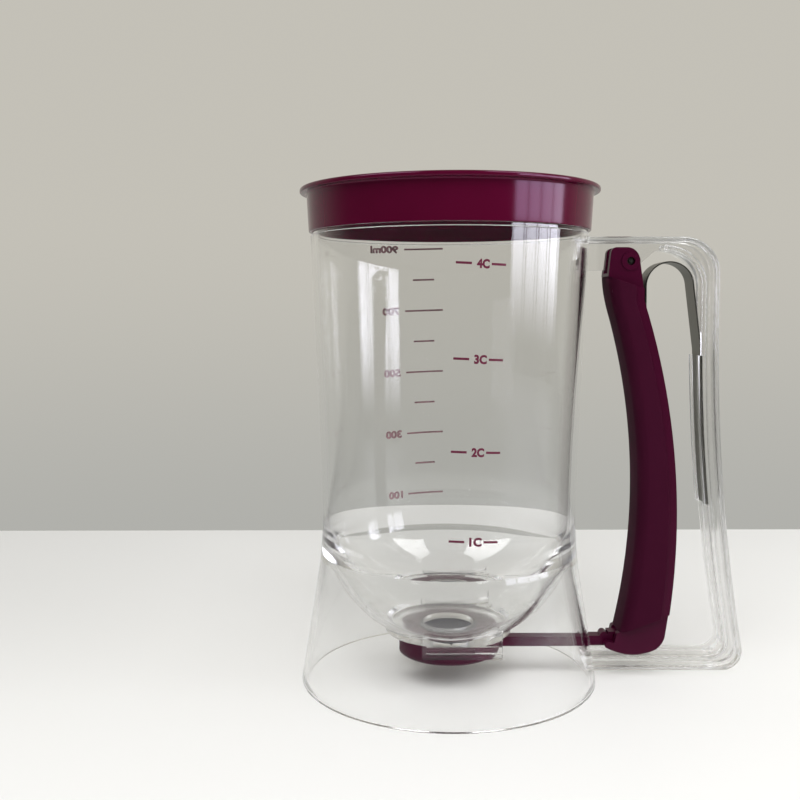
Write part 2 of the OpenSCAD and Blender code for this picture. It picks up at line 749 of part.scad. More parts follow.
module valve_slider() {
    wing_y = rail_y + wing_w;
    eye_half_l = link_pin_d / 2 + link_fit;
    color(MAROON) difference() {
        union() {
            // Disc, hollow underneath
            rotate_extrude() difference() {
                polygon(concat([[0, valve_low_z]],
                               arc(disc_r - valve_edge_r, valve_low_z + valve_edge_r,
                                   valve_edge_r, -90, 0, 8),
                               [[disc_r, valve_top_z], [0, valve_top_z]]));
                translate([0, valve_low_z - 1])
                    square([disc_r - valve_edge_r - disc_ring, seal_z - valve_t - valve_low_z + 1]);
            }
            // Wings
            translate([-wing_l / 2, -wing_y, valve_top_z - wing_t])
                cube([wing_l, 2 * wing_y, wing_t]);
            // Pull rod, and the eye at its end inside the lever's foot
            translate([disc_r - valve_t, -rod_w / 2, rod_z])
                cube([link_x - eye_half_l - disc_r + valve_t, rod_w, rod_h]);
            translate([link_x - eye_half_l - eye_t, -rod_w / 2, rod_z])
                cube([2 * (eye_half_l + eye_t), rod_w, eye_top_z - rod_z]);
            // Bump in front of the toe
            rotate([90, 0, 0]) translate([link_x - bump_back, rod_z + rod_h, -rod_w / 2])
                cylinder(r = bump_r, h = rod_w);
        }
        translate([0, 0, seal_z]) cylinder(r = seal_pocket_r, h = valve_h);
        // Notch behind the seal
        translate([-notch_x - notch_w / 2, 0, 0]) cylinder(d = notch_w, h = floor_z);
        translate([-2 * disc_r, -notch_w / 2, 0])
            cube([2 * disc_r - notch_x - notch_w / 2, notch_w, floor_z]);
        // Upright slot for the cross pin
        translate([link_x - eye_half_l, -rod_w, rod_z + eye_wall])
            cube([2 * eye_half_l, 2 * rod_w, eye_top_z - rod_z - 2 * eye_wall]);
    }
}

module valve_seal() {
    bead_r = (outlet_d / 2 + seal_r) / 2;
    color([0.16, 0.16, 0.17]) translate([0, 0, seal_z]) rotate_extrude() {
        square([seal_r, seal_t]);
        translate([bead_r - bead_w / 2, 0]) square([bead_w, seal_t + bead_h]);
    }
}

module placed() {
    translate([-origin_x, 0, 0]) children();
}

placed() jar();
placed() handle_frame();
placed() lid();
placed() trigger_lever();
placed() grip_cover();
placed() pivot_pin();
placed() return_spring();
placed() valve_slider();
placed() valve_seal();
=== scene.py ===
# Looks of a hand-held batter dispenser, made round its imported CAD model.
import math

import bmesh
import bpy
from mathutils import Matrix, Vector


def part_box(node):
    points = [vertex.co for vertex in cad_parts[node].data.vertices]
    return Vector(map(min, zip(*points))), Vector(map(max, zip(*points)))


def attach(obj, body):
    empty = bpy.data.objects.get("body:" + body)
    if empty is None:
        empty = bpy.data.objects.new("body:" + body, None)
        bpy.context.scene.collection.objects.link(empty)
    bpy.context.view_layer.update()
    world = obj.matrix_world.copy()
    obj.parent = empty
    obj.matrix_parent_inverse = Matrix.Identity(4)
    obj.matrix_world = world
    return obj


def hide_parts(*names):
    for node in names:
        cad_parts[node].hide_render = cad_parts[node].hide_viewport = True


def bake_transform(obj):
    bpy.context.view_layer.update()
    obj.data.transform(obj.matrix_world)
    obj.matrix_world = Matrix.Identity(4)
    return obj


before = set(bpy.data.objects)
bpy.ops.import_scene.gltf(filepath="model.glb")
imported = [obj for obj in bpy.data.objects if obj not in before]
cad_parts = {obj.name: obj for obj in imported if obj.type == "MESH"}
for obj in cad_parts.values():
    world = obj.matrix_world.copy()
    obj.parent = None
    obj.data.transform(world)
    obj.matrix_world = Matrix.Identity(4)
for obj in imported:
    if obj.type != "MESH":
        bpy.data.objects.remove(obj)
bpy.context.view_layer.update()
scene = bpy.context.scene
mm = 0.001
axisX = sum(corner.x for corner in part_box("lid")) / 2  # the jar's own axis


class Wire:  # a node's output, on which sums and products add Math nodes
    def __init__(self, tree, socket):
        self.tree = tree
        self.socket = socket

    def __add__(self, other):
        return self.tree.maths("ADD", self, other)

    def __mul__(self, other):
        return self.tree.maths("MULTIPLY", self, other)

    def __sub__(self, other):
        return self.tree.maths("SUBTRACT", self, other)

    def __rsub__(self, other):
        return self.tree.maths("SUBTRACT", other, self)

    def __pow__(self, other):
        return self.tree.maths("POWER", self, other)

    def __lt__(self, other):
        return self.tree.maths("LESS_THAN", self, other)

    def __gt__(self, other):
        return self.tree.maths("GREATER_THAN", self, other)

    __radd__ = __add__
    __rmul__ = __mul__


class Shader:  # a material's or the world's node tree
    def __init__(self, owner):
        owner.use_nodes = True
        self.owner = owner
        self.tree = owner.node_tree
        self.tree.nodes.clear()

    def add(self, kind, settings=None, sockets=None, out=0):
        node = self.tree.nodes.new("ShaderNode" + kind)
        for key, value in (settings or {}).items():
            setattr(node, key, value)
        for key, value in (sockets or {}).items():
            if isinstance(value, Wire):
                self.tree.links.new(value.socket, node.inputs[key])
            else:
                node.inputs[key].default_value = value
        return Wire(self, node.outputs[out]) if len(node.outputs) else node

    def maths(self, operation, a, b):
        return self.add("Math", {"operation": operation}, {0: a, 1: b})

    def place(self, stretch=(1, 1, 1), shift=(0, 0, 0)):
        spot = self.add("TexCoord", out="Object")
        return self.add("Mapping", None, {"Vector": spot, "Scale": stretch, "Location": shift})

    def part(self, vector, letter):
        return self.add("SeparateXYZ", None, {0: vector}, out=letter)

    def noise(self, scale, detail=3.0, stretch=(1, 1, 1)):
        return self.add("TexNoise", None, {"Vector": self.place(stretch), "Scale": scale, "Detail": detail})

    def between(self, factor, a, b):
        return self.add("Mix", {"data_type": "RGBA"}, {"Factor": factor, 6: a, 7: b}, out=2)

    def fade(self, value, low, high):
        return self.add("MapRange", {"interpolation_type": "SMOOTHSTEP"}, {0: value, 1: low, 2: high})

    def bump(self, height, strength, depth):  # the depth is in mm
        return self.add("Bump", None, {"Height": height, "Strength": strength, "Distance": depth * mm})

    def ray(self, kind):
        return self.add("LightPath", out=kind)

    def mirrored(self):  # 1 for what only a reflection shows
        return self.ray("Glossy Depth") > 0.5

    def straight(self):  # 1 for what shows directly or through something clear
        return self.ray("Is Camera Ray") + self.ray("Is Transmission Ray")

    def mixed(self, factor, a, b):
        return self.add("MixShader", None, {0: factor, 1: a, 2: b})

    def finish(self, surface):
        kind = "OutputWorld" if isinstance(self.owner, bpy.types.World) else "OutputMaterial"
        self.add(kind, None, {"Surface": surface})
        return self.owner


def tint(red, green, blue):
    return (red, green, blue, 1.0)


clearLook = {"colour": tint(0.965, 0.967, 0.964), "handle": tint(0.9, 0.9, 0.895), "handleX": 57.0,
             "sheen": tint(0.88, 0.88, 0.9), "shadow": tint(0.975, 0.975, 0.973), "ior": 1.49,
             "roughness": 0.012, "haze": 0.03, "smears": 35, "soft": 0.06,
             "frost": 0.16, "frostLow": 18.8, "frostHigh": 22.2, "frostR": 24.9,
             "waves": 22, "waveStretch": (1, 1, 0.35), "waveStrength": 0.04, "waveDepth": 0.4}


def clearPlastic():
    look = clearLook
    shader = Shader(bpy.data.materials.new("clearPlastic"))
    smears = shader.noise(look["smears"], 4.0)
    waves = shader.noise(look["waves"], 1.0, look["waveStretch"])
    spot = shader.place(shift=(-axisX, 0, 0))
    across, along, up = (shader.part(spot, letter) for letter in "XYZ")
    low = (up < look["frostHigh"] * mm) * (up > look["frostLow"] * mm)
    inside = across * across + along * along < (look["frostR"] * mm) ** 2
    handle = across > look["handleX"] * mm
    body = shader.add("BsdfPrincipled", None, {
        "Base Color": shader.between(handle, look["colour"], look["handle"]),
        "Specular Tint": look["sheen"], "IOR": look["ior"], "Transmission Weight": 1.0,
        "Roughness": smears ** 3 * look["haze"] + look["roughness"] + low * inside * look["frost"]
        + handle * look["soft"],
        "Normal": shader.bump(waves, look["waveStrength"], look["waveDepth"])})
    through = shader.add("BsdfTransparent", None, {"Color": look["shadow"]})
    light = shader.ray("Is Shadow Ray") + shader.ray("Is Diffuse Ray")
    return shader.finish(shader.mixed(light, body, through))


lidLook = {"colour": tint(0.066, 0.0012, 0.016), "deep": tint(0.054, 0.001, 0.012), "roughness": 0.13,
           "specular": 0.27, "sheen": tint(1.0, 0.65, 1.0), "grain": 0.02, "pores": 900}
leverLook = {"colour": tint(0.043, 0.001, 0.0145), "deep": tint(0.034, 0.001, 0.011), "roughness": 0.36,
             "specular": 0.18, "sheen": tint(1.0, 0.7, 0.9), "grain": 0.12, "pores": 900}
gripLook = {"colour": tint(0.036, 0.003, 0.014), "deep": tint(0.029, 0.002, 0.011), "roughness": 0.7,
            "specular": 0.08, "sheen": tint(1.0, 0.75, 0.9), "grain": 0.3, "pores": 1400}
valveLook = {"colour": tint(0.05, 0.002, 0.018), "deep": tint(0.04, 0.0015, 0.013), "roughness": 0.3,
             "specular": 0.12, "sheen": tint(1.0, 0.7, 0.9), "grain": 0.05, "pores": 900}


mouldedLook = {"ior": 1.48, "clouds": 60, "spread": 0.06}  # what all the moulded finishes share


def mouldedPlastic(name, look):
    shader = Shader(bpy.data.materials.new(name))
    clouds = shader.noise(mouldedLook["clouds"], 3.0)
    spread = mouldedLook["spread"]
    body = shader.add("BsdfPrincipled", None, {
        "Base Color": shader.between(clouds, look["deep"], look["colour"]), "IOR": mouldedLook["ior"],
        "Specular IOR Level": look["specular"], "Specular Tint": look["sheen"],
        "Roughness": clouds * spread + (look["roughness"] - spread / 2),
        "Normal": shader.bump(shader.noise(look["pores"], 2.0), look["grain"], 0.1)})
    return shader.finish(body)


steelLook = {"colour": tint(0.19, 0.185, 0.16), "deep": tint(0.11, 0.108, 0.094), "roughness": 0.3,
             "streaks": 900, "stretch": (1, 1, 0.02), "spread": 0.15, "grain": 0.1}


def springSteel():
    look = steelLook
    shader = Shader(bpy.data.materials.new("springSteel"))
    streaks = shader.noise(look["streaks"], 2.0, look["stretch"])
    body = shader.add("BsdfPrincipled", None, {
        "Base Color": shader.between(streaks, look["deep"], look["colour"]), "Metallic": 1.0,
        "Roughness": streaks * look["spread"] + look["roughness"],
        "Normal": shader.bump(streaks, look["grain"], 0.05)})
    return shader.finish(body)


sealLook = {"colour": tint(0.024, 0.022, 0.027), "deep": tint(0.016, 0.014, 0.018), "roughness": 0.5,
            "specular": 0.15, "clouds": 150, "spread": 0.1, "pores": 1200, "grain": 0.08}


def sealRubber():
    look = sealLook
    shader = Shader(bpy.data.materials.new("sealRubber"))
    clouds = shader.noise(look["clouds"], 3.0)
    body = shader.add("BsdfPrincipled", None, {
        "Base Color": shader.between(clouds, look["deep"], look["colour"]),
        "Roughness": clouds * look["spread"] + look["roughness"], "Specular IOR Level": look["specular"],
        "Normal": shader.bump(shader.noise(look["pores"]), look["grain"], 0.05)})
    return shader.finish(body)


inkLook = {"colour": tint(0.085, 0.004, 0.022), "deep": tint(0.11, 0.008, 0.035), "roughness": 0.45,
           "speckle": 1500, "grain": 0.1}
fadedLook = {"colour": tint(0.2, 0.09, 0.11), "deep": tint(0.28, 0.16, 0.17), "roughness": 0.5,
             "speckle": 1500, "grain": 0.1}


def printingInk(name, look):
    shader = Shader(bpy.data.materials.new(name))
    speckle = shader.noise(look["speckle"], 2.0)
    body = shader.add("BsdfPrincipled", None, {
        "Base Color": shader.between(speckle, look["deep"], look["colour"]), "Roughness": look["roughness"],
        "Normal": shader.bump(speckle, look["grain"], 0.02)})
    return shader.finish(body)


finishes = {
    "clear": clearPlastic(),
    "lid": mouldedPlastic("lidPlastic", lidLook),
    "lever": mouldedPlastic("leverPlastic", leverLook),
    "grip": mouldedPlastic("softGrip", gripLook),
    "valve": mouldedPlastic("valvePlastic", valveLook),
    "steel": springSteel(),
    "seal": sealRubber(),
    "ink": printingInk("printingInk", inkLook),
    "fadedInk": printingInk("fadedInk", fadedLook),
}
print("finishes made:", len(finishes))


def newObject(name, mesh, finish=None):
    thing = bpy.data.objects.new(name, mesh)
    scene.collection.objects.link(thing)
    if finish:
        thing.data.materials.clear()
        thing.data.materials.append(finishes[finish])
    return thing


def meshOf(name, work, merge=1e-6):
    bmesh.ops.remove_doubles(work, verts=work.verts, dist=merge)
    bmesh.ops.recalc_face_normals(work, faces=work.faces)
    mesh = bpy.data.meshes.new(name)
    work.to_mesh(mesh)
    work.free()
    return mesh


def baked(thing):  # the mesh that an object's modifiers make, in place of the object
    graph = bpy.context.evaluated_depsgraph_get()
    mesh = bpy.data.meshes.new_from_object(thing.evaluated_get(graph))
    bpy.data.objects.remove(thing)
    return mesh


def combined(name, base, steps):  # steps are pairs of an operation and a mesh
    for operation, mesh in steps:
        thing, other = newObject(name, base), newObject("tool", mesh)
        cut = thing.modifiers.new("cut", "BOOLEAN")
        cut.operation, cut.solver, cut.object = operation, "EXACT", other
        base = baked(thing)
        bpy.data.objects.remove(other)
    return base


def smooth(mesh, angle=32):  # soft edges, with the flat faces kept flat
    mesh.shade_smooth()
    mesh.set_sharp_from_angle(angle=math.radians(angle))
    thing = newObject("smooth", mesh)
    level = thing.modifiers.new("level", "WEIGHTED_NORMAL")
    level.mode, level.keep_sharp = "FACE_AREA_WITH_ANGLE", True
    return baked(thing)


def settled(name, mesh, finish, body, nodes):  # a finished piece on its CAD body
    thing = newObject(name, mesh, finish)
    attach(thing, body)
    if nodes:
        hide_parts(*nodes)
    print(name, "made,", len(mesh.polygons), "faces")


def newTree(name, numbers, material):  # a tree of geometry nodes with named inputs
    tree = bpy.data.node_groups.new(name, "GeometryNodeTree")
    new = tree.interface.new_socket
    new(name="Geometry", in_out="INPUT", socket_type="NodeSocketGeometry")
    inputs = {}
    for key, kind in [*numbers.items(), (material, "Material")]:
        inputs[key] = new(name=key, in_out="INPUT", socket_type="NodeSocket" + kind).identifier
    new(name="Geometry", in_out="OUTPUT", socket_type="NodeSocketGeometry")
    return tree, inputs


def endTree(tree, given, shape, material):  # every tree ends in real faces with a material
    real, paint = tree.nodes.new("GeometryNodeRealizeInstances"), tree.nodes.new("GeometryNodeSetMaterial")
    result = tree.nodes.new("NodeGroupOutput")
    tree.links.new(shape, real.inputs["Geometry"])
    tree.links.new(real.outputs["Geometry"], paint.inputs["Geometry"])
    tree.links.new(given.outputs[material], paint.inputs["Material"])
    tree.links.new(paint.outputs["Geometry"], result.inputs["Geometry"])


def grown(name, mesh, tree, inputs, values):  # the mesh that a tree makes of another mesh
    thing = newObject(name, mesh)
    maker = thing.modifiers.new(name, "NODES")
    maker.node_group = tree
    for key, value in values.items():
        maker[inputs[key]] = value
    return baked(thing)


def arc(x, z, radius, start, end, count):
    turns = [math.radians(start + (end - start) * i / count) for i in range(count + 1)]
    return [(x + radius * math.cos(turn), z + radius * math.sin(turn)) for turn in turns]


turnSize = {"radius": 50.0, "segments": 240, "toolSegments": 180}


def turningTree():  # sweeps an outline round a circle about the jar's axis
    tree, inputs = newTree("turnedOutline", {"Segments": "Int", "Radius": "Float", "Axis": "Vector"}, "Plastic")
    new, link = tree.nodes.new, tree.links.new
    given, circle = new("NodeGroupInput"), new("GeometryNodeCurvePrimitiveCircle")
    outline, sweep = new("GeometryNodeMeshToCurve"), new("GeometryNodeCurveToMesh")
    move = new("GeometryNodeTransform")
    link(given.outputs["Segments"], circle.inputs["Resolution"])
    link(given.outputs["Radius"], circle.inputs["Radius"])
    link(given.outputs["Geometry"], outline.inputs["Mesh"])
    link(circle.outputs["Curve"], sweep.inputs["Curve"])
    link(outline.outputs["Curve"], sweep.inputs["Profile Curve"])
    link(sweep.outputs["Mesh"], move.inputs["Geometry"])
    link(given.outputs["Axis"], move.inputs["Translation"])
    endTree(tree, given, move.outputs["Geometry"], "Plastic")
    return tree, inputs


turning = turningTree()


def lathe(name, profile, finish, segments):  # a closed profile of radius and height in mm, round the jar's axis
    radius = turnSize["radius"]
    outline = bpy.data.meshes.new("outline")
    outline.from_pydata([((r - radius) * mm, -z * mm, 0) for r, z in profile],
                        [(i, (i + 1) % len(profile)) for i in range(len(profile))], [])
    mesh = grown("turned", outline, *turning, {
        "Segments": turnSize[segments], "Radius": radius * mm, "Axis": (axisX, 0.0, 0.0),
        "Plastic": finishes[finish]})
    work = bmesh.new()
    work.from_mesh(mesh)
    return meshOf(name, work)


def plate(name, outline, width, edge=0.0, shift=0.0):  # an outline in the XZ plane, from the jar's axis, in mm
    work = bmesh.new()
    near = (shift - width / 2) * mm
    corners = [work.verts.new((axisX + x * mm, near, z * mm)) for x, z in outline]
    made = bmesh.ops.extrude_face_region(work, geom=[work.faces.new(corners)])["geom"]
    moved = [part for part in made if isinstance(part, bmesh.types.BMVert)]
    bmesh.ops.translate(work, verts=moved, vec=(0, width * mm, 0))
    bmesh.ops.recalc_face_normals(work, faces=work.faces)
    if edge:
        rims = [e for e in work.edges if abs(e.verts[0].co.y - e.verts[1].co.y) < 1e-7]
        bmesh.ops.bevel(work, geom=rims, offset=edge * mm, segments=3, profile=0.5, affect="EDGES")
    return meshOf(name, work)


def bar(name, x0, x1, z0, z1, width, shift=0.0):
    return plate(name, [(x0, z0), (x1, z0), (x1, z1), (x0, z1)], width, shift=shift)


def evenly(low, high, count):  # heights from one to the other
    return [low + (high - low) * i / count for i in range(count + 1)]


jarSize = {"baseR": 57.9, "waistR": 49.3, "waistZ": 66.0, "bendR": 150.0, "shoulderR": 53.1,
           "shoulderZ": 173.0, "bow": 1.35, "neckH": 12.2, "ledge": 0.9, "wall": 2.4, "bowlZ": 63.991,
           "floorZ": 19.0, "floorT": 2.5, "outletR": 10.0, "rimR": 0.7, "rimZ": 3.0,
           "shoulderEdge": 0.4, "mouthEdge": 0.5, "holeEdge": 0.2, "floorEdge": 0.5,
           "floorIn": 0.3, "underH": 0.4, "blendW": 2.2, "blendH": 1.0, "sideAbove": 1.0,
           "meetAbove": 0.6, "meetBelow": 1.4,
           "slotW": 6.2, "slotLow": 11.7, "slotHigh": 16.7, "slotFrom": 40.0, "slotTo": 70.0}


def jarSide(inset, count=24):  # outer side from the foot's rim to the shoulder, moved inwards
    s = jarSize
    across, up = s["waistR"] + s["bendR"] - s["baseR"], s["waistZ"] - s["rimZ"]
    turn = math.atan2(up, across) + math.asin(s["bendR"] / math.hypot(across, up))
    side = [(s["baseR"] - inset, s["rimZ"])]
    side += arc(s["waistR"] + s["bendR"], s["waistZ"], s["bendR"] + inset, 90 + math.degrees(turn), 180, count)
    for i in range(1, count + 1):
        share = i / count
        z = s["waistZ"] + (s["shoulderZ"] - s["waistZ"]) * share
        side.append((s["waistR"] + (s["shoulderR"] - s["waistR"]) * share ** s["bow"] - inset, z))
    return side


def radiusAt(z, inset=0.0):  # radius of the jar's side at a height
    side = jarSide(inset)
    for (r0, z0), (r1, z1) in zip(side, side[1:]):
        if z0 <= z <= z1:
            return r0 + (r1 - r0) * (z - z0) / (z1 - z0)
    return side[0][0] if z < side[0][1] else side[-1][0]


def jarProfile():
    s = jarSize
    wall, bowlZ, edge = s["wall"], s["bowlZ"], s["rimR"]
    shoulder, mouth, hole, under = s["shoulderEdge"], s["mouthEdge"], s["holeEdge"], s["floorEdge"]
    topZ, neckR, mouthR = s["shoulderZ"] + s["neckH"], s["shoulderR"] - s["ledge"], s["shoulderR"] - wall
    line = arc(s["baseR"] - edge, edge, edge, -90, 0, 5) + jarSide(0)[1:-1]  # up the outside
    line += arc(s["shoulderR"] - shoulder, s["shoulderZ"] - shoulder, shoulder, 0, 90, 4)
    line += [(neckR, s["shoulderZ"])] + arc(neckR - mouth, topZ - mouth, mouth, 0, 90, 4)
    line += arc(mouthR + mouth, topZ - mouth, mouth, 90, 180, 4)  # down the inside
    line += [p for p in reversed(jarSide(wall)) if p[1] > bowlZ + s["sideAbove"]]
    floorTop = s["floorZ"] + s["floorT"]
    innerR, outerR = s["waistR"] - wall, s["waistR"]
    lowest = math.degrees(math.asin((floorTop + s["blendH"] - bowlZ) / innerR))
    line += arc(0, bowlZ, innerR, 0, lowest, 40)
    line += [(line[-1][0] - s["blendW"], floorTop)]
    line += arc(s["outletR"] + hole, floorTop - hole, hole, 90, 180, 3)
    line += arc(s["outletR"] + hole, s["floorZ"] + hole, hole, 180, 270, 3)
    floorR = math.sqrt(outerR ** 2 - (bowlZ - floorTop) ** 2) - s["floorIn"]
    line += arc(floorR - under, s["floorZ"] + under, under, -90, 0, 4)  # up under the bowl
    first = math.degrees(math.asin((floorTop + s["underH"] - bowlZ) / outerR))
    meet = bowlZ - 5.0  # lowered to where the bowl's outside runs into the inside of the foot
    while math.sqrt(outerR ** 2 - (bowlZ - meet) ** 2) > radiusAt(meet, wall):
        meet -= 0.1
    last = math.degrees(math.asin((meet - s["meetAbove"] - bowlZ) / outerR))
    line += arc(0, bowlZ, outerR, first, last, 26)
    line += [p for p in reversed(jarSide(wall)) if p[1] < meet - s["meetBelow"]]  # down inside the foot
    line += arc(s["baseR"] - wall + edge, edge, edge, 180, 270, 5)
    return line


frameSize = {"postX": 102.6, "postT": 6.8, "sweepR": 750.0, "sweepZ": 148.0, "armTop": 172.2, "armT": 5.0,
             "lowArmZ": 3.4, "lowArmT": 5.9, "barW": 14.0, "webW": 6.0, "flange": 2.2, "inner": 2.0,
             "rootX": 30.0, "topCorner": 14.0, "topInner": 14.0, "lowCorner": 7.7, "lowInner": 6.0,
             "gussetZ": 159.7, "gussetX": 70.2, "gussetSlope": 41.0, "edge": 0.9,
             "lipH": 0.9, "lipY": 3.3, "lipLow": 69.4, "lipHigh": 127.1, "lipRoot": 1.0, "lipEdge": 0.2,
             "grooveW": 11.2, "grooveT": 0.65, "grooveHigh": 136.0, "grooveOut": 0.4}
railSize = {"back": -10.8, "stop": -9.2, "front": 19.0, "open": 40.0, "low": 14.5, "lip": 16.1, "top": 29.75,
            "inY": 20.7, "wingY": 23.1, "outY": 24.7, "spare": 1.0}


def postFace(z, inset=0.0):  # the post's inner face, moved into the post
    f = frameSize
    radius = f["sweepR"] + f["postT"] - inset
    return f["postX"] + f["sweepR"] - math.sqrt(radius ** 2 - max(0.0, f["sweepZ"] - z) ** 2)


def frameOutline(inset):
    f = frameSize
    centre, corner = f["postX"] + f["sweepR"], f["topCorner"]
    lowZ = f["lowArmZ"] + f["lowCorner"]
    lowX = centre - math.sqrt((f["sweepR"] + f["lowCorner"]) ** 2 - (f["sweepZ"] - lowZ) ** 2)
    lean = math.degrees(math.asin((f["sweepZ"] - lowZ) / (f["sweepR"] + f["lowCorner"])))
    line = [(f["rootX"], f["armTop"] - inset)]
    line += arc(f["postX"] - corner, f["armTop"] - corner, corner - inset, 90, 0, 20)
    line += arc(centre, f["sweepZ"], f["sweepR"] + inset, 180, 180 + lean, 20)[1:]
    line += arc(lowX, lowZ, f["lowCorner"] - inset, lean, -90, 16)[1:]
    return line + [(f["rootX"], f["lowArmZ"] + inset)]


def frameWindow(grow):
    f = frameSize
    centre, radius = f["postX"] + f["sweepR"], f["sweepR"] + f["postT"]
    lowZ = f["lowArmZ"] + f["lowArmT"] + f["lowInner"]
    lowX = centre - math.sqrt((radius + f["lowInner"]) ** 2 - (f["sweepZ"] - lowZ) ** 2)
    lean = math.degrees(math.asin((f["sweepZ"] - lowZ) / (radius + f["lowInner"])))
    corner, armLow = f["topInner"], f["armTop"] - f["armT"]
    line = [(f["rootX"], armLow + grow)]
    line += arc(f["postX"] - f["postT"] - corner, armLow - corner, corner + grow, 90, 0, 20)
    line += arc(centre, f["sweepZ"], radius - grow, 180, 180 + lean, 20)[1:]
    line += arc(lowX, lowZ, f["lowInner"] + grow, lean, -90, 12)[1:]
    return line + [(f["rootX"], f["lowArmZ"] + f["lowArmT"] - grow)]


def handleBars():
    f, s = frameSize, jarSize
    armLow = f["armTop"] - f["armT"]
    slopeX = f["gussetX"] + (armLow - f["gussetZ"]) / math.tan(math.radians(f["gussetSlope"]))
    outer = frameOutline(0) + frameOutline(f["flange"])[::-1]
    inner = frameWindow(0)[1:] + frameWindow(f["inner"])[:0:-1]
    gusset = [(f["rootX"], f["gussetZ"]), (f["gussetX"], f["gussetZ"]), (slopeX, armLow),
              (frameWindow(0)[1][0], armLow)]
    web = frameOutline(f["flange"] / 2) + (gusset + frameWindow(f["inner"] / 2)[1:])[::-1]
    heights = evenly(f["lipLow"], f["lipHigh"], 12)
    lip = [(postFace(z, f["lipRoot"]), z) for z in heights]
    lip += [(postFace(z, -f["lipH"]), z) for z in heights[::-1]]
    lipW, lipShift = f["barW"] / 2 - f["lipY"], (f["barW"] / 2 + f["lipY"]) / 2
    core = [(0.0, -1.0), (s["baseR"] - s["wall"] / 2, -1.0)] + jarSide(s["wall"] / 2)[1:]
    core += [(0.0, s["shoulderZ"])]
    return combined("bars", plate("outerFlange", outer, f["barW"], f["edge"]), [
        ("UNION", plate("innerFlange", inner, f["barW"], f["edge"])),
        ("UNION", plate("web", web, f["webW"])),
        ("UNION", plate("nearLip", lip, lipW, f["lipEdge"], -lipShift)),
        ("UNION", plate("farLip", lip, lipW, f["lipEdge"], lipShift)),
        ("DIFFERENCE", lathe("core", core, "clear", "toolSegments"))])


def valveRails():
    r, s = railSize, jarSize
    middle, width = (r["inY"] + r["outY"]) / 2, r["outY"] - r["inY"]
    wayMiddle, wayWidth = (r["inY"] + r["wingY"] - r["spare"]) / 2, r["wingY"] - r["inY"] + r["spare"]
    bowlR = s["waistR"] - s["wall"] / 2
    steps = [("UNION", bar("farRail", r["back"], r["front"], r["low"], r["top"], width, middle))]
    for side in (-1, 1):
        steps.append(("DIFFERENCE", bar("wingWay", r["stop"], r["open"], r["lip"], s["floorZ"], wayWidth,
                                        side * wayMiddle)))
    ball = arc(0, s["bowlZ"], bowlR, -90, 90, 90)
    steps.append(("DIFFERENCE", lathe("bowlBall", ball, "clear", "toolSegments")))
    return combined("rails", bar("nearRail", r["back"], r["front"], r["low"], r["top"], width, -middle), steps)


def clearBody():
    f, s = frameSize, jarSize
    heights = evenly(f["lipLow"], f["grooveHigh"], 14)
    groove = [(postFace(z, f["grooveT"]), z) for z in heights]
    groove += [(postFace(z, -f["grooveOut"]), z) for z in heights[::-1]]
    mesh = combined("clearBody", lathe("jar", jarProfile(), "clear", "segments"), [
        ("UNION", handleBars()),
        ("UNION", valveRails()),
        ("DIFFERENCE", bar("slot", s["slotFrom"], s["slotTo"], s["slotLow"], s["slotHigh"], s["slotW"])),
        ("DIFFERENCE", plate("groove", groove, f["grooveW"]))])
    settled("clearBody", smooth(mesh), "clear", "jar_body", ("jar", "handle_frame"))


lidSize = {"lowZ": 174.1, "topZ": 190.3, "skirtIn": 52.4, "skirtOut": 53.7, "skirtTop": 54.4, "lipR": 57.0,
           "lipT": 1.8, "lipEdge": 0.8, "lipUnder": 0.6, "bend": 0.9, "panelZ": 187.0, "rimZ": 185.2,
           "inEdge": 0.3, "outEdge": 0.4, "wellR": 50.6, "wellIn": 0.6, "wellEdge": 0.7, "panelEdge": 0.8,
           "plugR": 50.5, "plugT": 1.3, "plugH": 5.0, "plugSlopeW": 0.4, "plugSlopeH": 0.8}


def lid():
    s = lidSize
    lipLow, wellR = s["topZ"] - s["lipT"], s["wellR"] + s["wellIn"]
    profile = arc(s["skirtIn"] + s["inEdge"], s["lowZ"] + s["inEdge"], s["inEdge"], 180, 270, 3)
    profile += arc(s["skirtOut"] - s["outEdge"], s["lowZ"] + s["outEdge"], s["outEdge"], -90, 0, 4)
    rise = lipLow - s["bend"] - s["lowZ"]
    for i in range(1, 9):
        profile.append((s["skirtOut"] + (s["skirtTop"] - s["skirtOut"]) * i / 8, s["lowZ"] + rise * i / 8))
    profile += arc(s["skirtTop"] + s["bend"], lipLow - s["bend"], s["bend"], 180, 110, 5)[1:]
    profile += arc(s["lipR"] - s["lipUnder"], lipLow + s["lipUnder"], s["lipUnder"], -80, 0, 4)
    profile += arc(s["lipR"] - s["lipEdge"], s["topZ"] - s["lipEdge"], s["lipEdge"], 0, 90, 6)
    profile += arc(wellR + s["wellEdge"], s["topZ"] - s["wellEdge"], s["wellEdge"], 90, 180, 5)
    profile += arc(wellR - s["panelEdge"], s["panelZ"] + s["panelEdge"], s["panelEdge"], 0, -90, 5)
    profile += [(s["wellR"] * share, s["panelZ"]) for share in (0.9, 0.6, 0.3, 0.0)]
    plugIn, plugLow = s["plugR"] - s["plugT"], s["rimZ"] - s["plugH"]
    profile += [(0.0, s["rimZ"]), (plugIn * 0.5, s["rimZ"]), (plugIn, s["rimZ"]), (plugIn, plugLow)]
    profile += [(s["plugR"] - s["plugSlopeW"], plugLow), (s["plugR"], plugLow + s["plugSlopeH"])]
    profile += [(s["plugR"], s["rimZ"]), (s["skirtIn"], s["rimZ"])]
    mesh = smooth(lathe("pressOnLid", profile, "lid", "segments"), 28)
    settled("pressOnLid", mesh, "lid", "lid", ("lid",))


